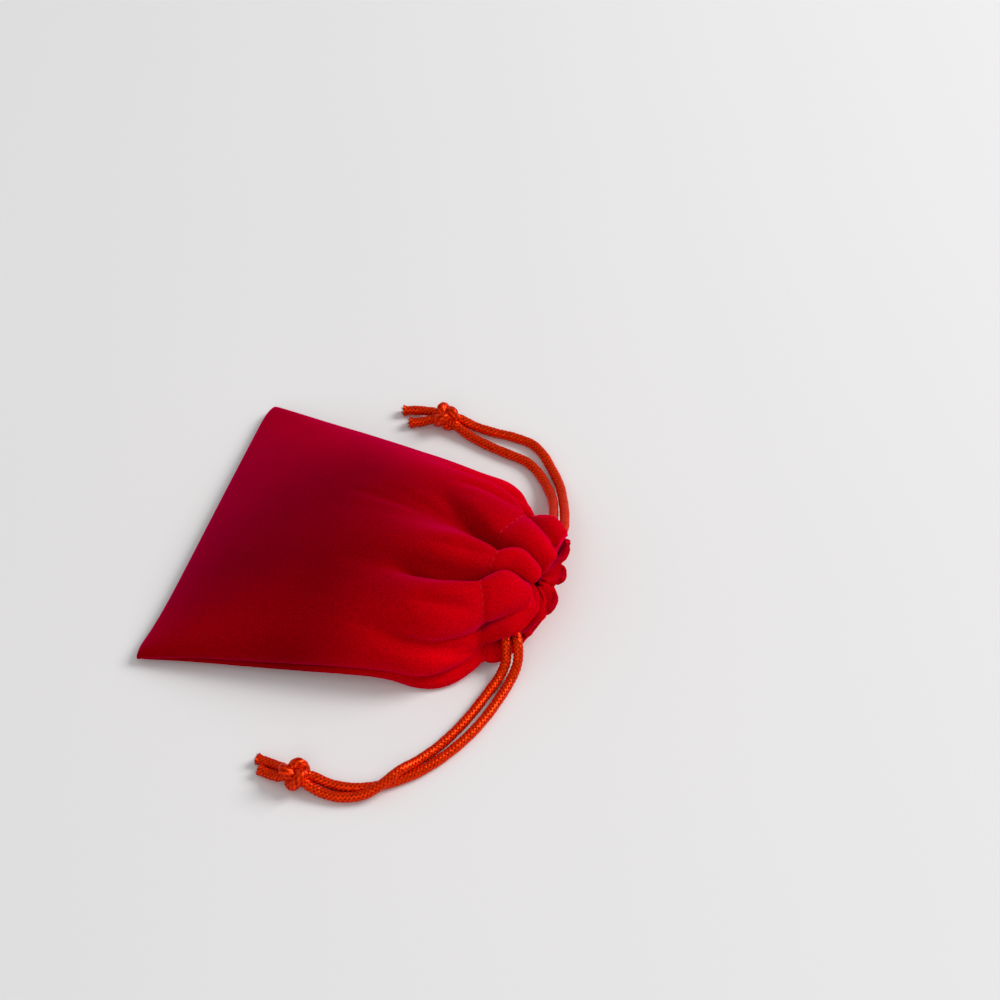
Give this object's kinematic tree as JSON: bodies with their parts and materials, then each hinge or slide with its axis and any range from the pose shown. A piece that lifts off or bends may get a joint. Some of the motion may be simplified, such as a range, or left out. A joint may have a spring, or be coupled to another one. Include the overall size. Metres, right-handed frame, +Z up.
{
  "type": "drawstring gift pouch",
  "caption": "Small velvet gift pouch lying on its back, its hemmed mouth gathered shut by a pair of satin drawstrings that leave at either side and end in knots.",
  "frame": {"origin": "bottom centre of the box round the pouch without its drawstrings, where it rests on its back panel", "axes": "+X from the bottom seam to the gathered mouth, +Y across the width to the far side, +Z up from the surface it lies on"},
  "size_m": [0.106, 0.1414, 0.0258],
  "materials": {
    "velvet": "short pile velvet with a soft sheen",
    "cord": "glossy woven satin",
    "thread": "fine sewing thread"
  },
  "bodies": {
    "pouch": {"front_panel": "velvet", "back_panel": "velvet", "near_side_seam": "thread", "far_side_seam": "thread", "bottom_seam": "thread", "front_casing": "velvet", "back_casing": "velvet", "front_casing_stitching": "thread", "back_casing_stitching": "thread"},
    "near_drawstring": {"near_casing_loop": "cord", "near_strand_a": "cord", "near_strand_b": "cord", "near_knot": "cord", "near_end_a": "cord", "near_end_b": "cord"},
    "far_drawstring": {"far_casing_loop": "cord", "far_strand_a": "cord", "far_strand_b": "cord", "far_knot": "cord", "far_end_a": "cord", "far_end_b": "cord"}
  },
  "joints": [
    {"name": "near_drawstring_pull", "type": "slide", "parent": "pouch", "child": "near_drawstring", "axis": [0, -1, 0], "range_m": [-0.002, 0.004]},
    {"name": "far_drawstring_pull", "type": "slide", "parent": "pouch", "child": "far_drawstring", "axis": [0, 1, 0], "range_m": [-0.002, 0.004]}
  ]
}
